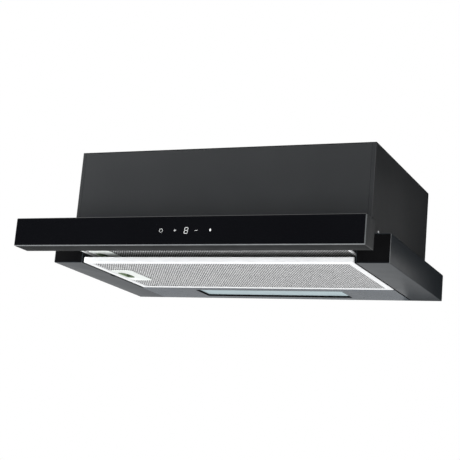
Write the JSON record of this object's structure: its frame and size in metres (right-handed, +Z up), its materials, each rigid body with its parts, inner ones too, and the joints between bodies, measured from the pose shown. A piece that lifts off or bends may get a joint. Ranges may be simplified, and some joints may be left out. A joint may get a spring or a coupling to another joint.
{
  "type": "pull-out range hood",
  "caption": "Pull-out kitchen hood with glass-fronted sliding drawer, lift-out grease filters, lamp, motor box with fan and top outlet collar with flaps.",
  "frame": {"origin": "on the level of the rails' underside, under the middle of the bounding box, with the drawer partly out as in the picture", "axes": "+X to the right seen from the front, +Y towards the wall, +Z up"},
  "size_m": [0.598, 0.447, 0.2233],
  "materials": {
    "black_steel": "satin black powder coat",
    "rail_steel": "semi-gloss black powder coat",
    "black_glass": "polished, black on the back",
    "zinc_steel": "bright zinc plated",
    "aluminium": "satin",
    "white_plastic": "satin",
    "green_plastic": "satin",
    "black_plastic": "matt",
    "grey_plastic": "matt",
    "opal_plastic": "opal, satin",
    "circuit_board": "lacquered board"
  },
  "bodies": {
    "housing": {"left_rail": "rail_steel", "right_rail": "rail_steel", "rear_strip": "rail_steel", "base_top_plate": "black_steel", "base_back_panel": "black_steel", "lamp_diffuser": "opal_plastic", "lamp_tray": "white_plastic", "lamp_board": "circuit_board", "box_front_panel": "black_steel", "box_left_side": "black_steel", "box_right_side": "black_steel", "box_back_panel": "black_steel", "box_top_panel": "black_steel", "left_side_screw": "zinc_steel", "right_side_screw": "zinc_steel", "outlet_collar": "black_plastic", "flap_axle": "zinc_steel", "left_scroll": "grey_plastic", "right_scroll": "grey_plastic", "motor_can": "zinc_steel", "motor_stator": "zinc_steel", "motor_bracket": "zinc_steel", "control_box": "black_plastic", "control_board": "circuit_board", "control_lid": "black_plastic", "capacitor": "white_plastic", "lamp_driver": "white_plastic", "cable_gland": "black_plastic", "left_outer_runner": "zinc_steel", "right_outer_runner": "zinc_steel"},
    "left_cage": {"left_ball_cage": "zinc_steel"},
    "right_cage": {"right_ball_cage": "zinc_steel"},
    "fan": {"fan_wheel": "black_plastic", "fan_shaft": "zinc_steel", "motor_rotor": "zinc_steel"},
    "left_flap": {"left_flap": "black_plastic"},
    "right_flap": {"right_flap": "black_plastic"},
    "drawer": {"visor_glass": "black_glass", "visor_shell": "black_steel", "left_visor_cap": "black_steel", "right_visor_cap": "black_steel", "touch_board": "circuit_board", "display_module": "black_plastic", "left_drawer_side": "black_steel", "right_drawer_side": "black_steel", "drawer_back_bar": "black_steel", "left_inner_runner": "zinc_steel", "right_inner_runner": "zinc_steel", "drawer_filter_frame": "aluminium", "drawer_filter_mesh": "aluminium", "drawer_filter_core": "aluminium", "drawer_filter_handle": "white_plastic"},
    "drawer_latch": {"drawer_filter_latch": "green_plastic"},
    "fixed_filter": {"fixed_filter_frame": "aluminium", "fixed_filter_mesh": "aluminium", "fixed_filter_core": "aluminium", "fixed_filter_handle": "white_plastic"},
    "fixed_latch": {"fixed_filter_latch": "green_plastic"}
  },
  "joints": [
    {"name": "drawer_slide", "type": "slide", "parent": "housing", "child": "drawer", "axis": [0, -1, 0], "range_m": [-0.0847, 0.065]},
    {"name": "left_cage_slide", "type": "slide", "parent": "housing", "child": "left_cage", "axis": [0, -1, 0], "range_m": [-0.04235, 0.0325]},
    {"name": "right_cage_slide", "type": "slide", "parent": "housing", "child": "right_cage", "axis": [0, -1, 0], "range_m": [-0.04235, 0.0325]},
    {"name": "fan_spin", "type": "hinge", "parent": "housing", "child": "fan", "pos_m": [0, 0.04403, 0.12281], "axis": [1, 0, 0], "continuous": true},
    {"name": "left_flap_hinge", "type": "hinge", "parent": "housing", "child": "left_flap", "pos_m": [0, 0.0895, 0.20166], "axis": [0, 1, 0], "range_deg": [0, 75]},
    {"name": "right_flap_hinge", "type": "hinge", "parent": "housing", "child": "right_flap", "pos_m": [0, 0.0895, 0.20166], "axis": [0, -1, 0], "range_deg": [0, 75]},
    {"name": "fixed_filter_tilt", "type": "hinge", "parent": "housing", "child": "fixed_filter", "pos_m": [0.24225, 0, 0.0012], "axis": [0, -1, 0], "range_deg": [0, 20]},
    {"name": "fixed_latch_slide", "type": "slide", "parent": "fixed_filter", "child": "fixed_latch", "axis": [1, 0, 0], "range_m": [0, 0.006], "stiffness_N_per_m": 300, "springref_m": -0.004},
    {"name": "drawer_latch_slide", "type": "slide", "parent": "drawer", "child": "drawer_latch", "axis": [1, 0, 0], "range_m": [0, 0.006], "stiffness_N_per_m": 300, "springref_m": -0.004}
  ],
  "couplings": [
    {"joint": "left_cage_slide", "follows": "drawer_slide", "ratio": 0.5},
    {"joint": "right_cage_slide", "follows": "drawer_slide", "ratio": 0.5}
  ]
}
